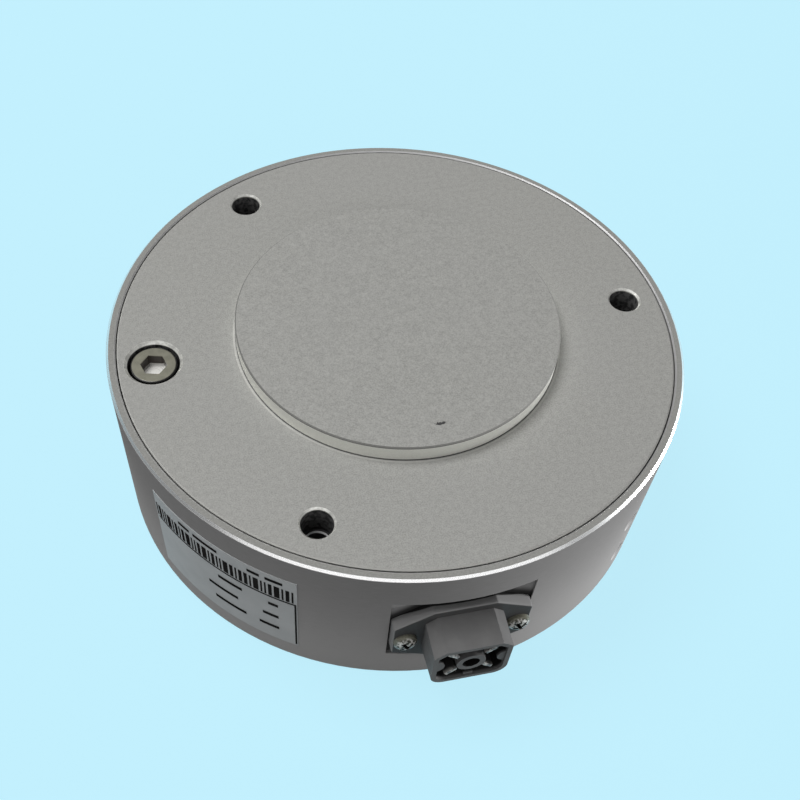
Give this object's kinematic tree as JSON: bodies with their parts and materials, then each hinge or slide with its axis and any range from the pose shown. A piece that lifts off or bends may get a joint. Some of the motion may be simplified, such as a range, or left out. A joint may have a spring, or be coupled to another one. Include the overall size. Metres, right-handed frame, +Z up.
{
  "type": "tension load cell",
  "caption": "Low round load cell for web tension: an aluminium cup with a floating load plate and raised pad, a stop screw, and a plug socket on its side.",
  "frame": {"origin": "centre of the cup's flat base", "axes": "+Z up through the load plate's pad, -Y out of the plug socket, -X towards the stop screw"},
  "size_m": [0.125, 0.133, 0.044],
  "materials": {
    "housing_aluminium": "turned, clear anodised, satin",
    "plate_aluminium": "fine bead blasted, clear anodised",
    "beam_aluminium": "milled",
    "screw_steel": "stainless, turned",
    "black_rubber": "matt",
    "grey_plastic": "moulded polyamide, satin",
    "contact_metal": "tin plated",
    "bush_brass": "turned",
    "gauge_film": "amber film",
    "lead_insulation": "insulated wire",
    "board_laminate": "solder mask",
    "resistor_ceramic": "chip",
    "label_film": "silver-white film"
  },
  "bodies": {
    "root": {"housing": "housing_aluminium", "load_plate": "plate_aluminium", "gap_seal": "black_rubber", "thread_inserts": "screw_steel", "overload_stop_screw": "screw_steel", "measuring_beam": "beam_aluminium", "beam_base_screws": "screw_steel", "beam_plate_screws": "screw_steel", "strain_gauges": "gauge_film", "gauge_leads": "lead_insulation", "terminal_board": "board_laminate", "trim_resistors": "resistor_ceramic", "board_standoffs": "bush_brass", "board_screws": "screw_steel", "signal_leads": "lead_insulation", "connector_shell": "grey_plastic", "contact_carrier": "grey_plastic", "contact_pins": "contact_metal", "centre_nut": "bush_brass", "connector_gasket": "black_rubber", "connector_screws": "screw_steel", "side_plugs": "screw_steel", "rating_label": "label_film"}
  },
  "joints": []
}
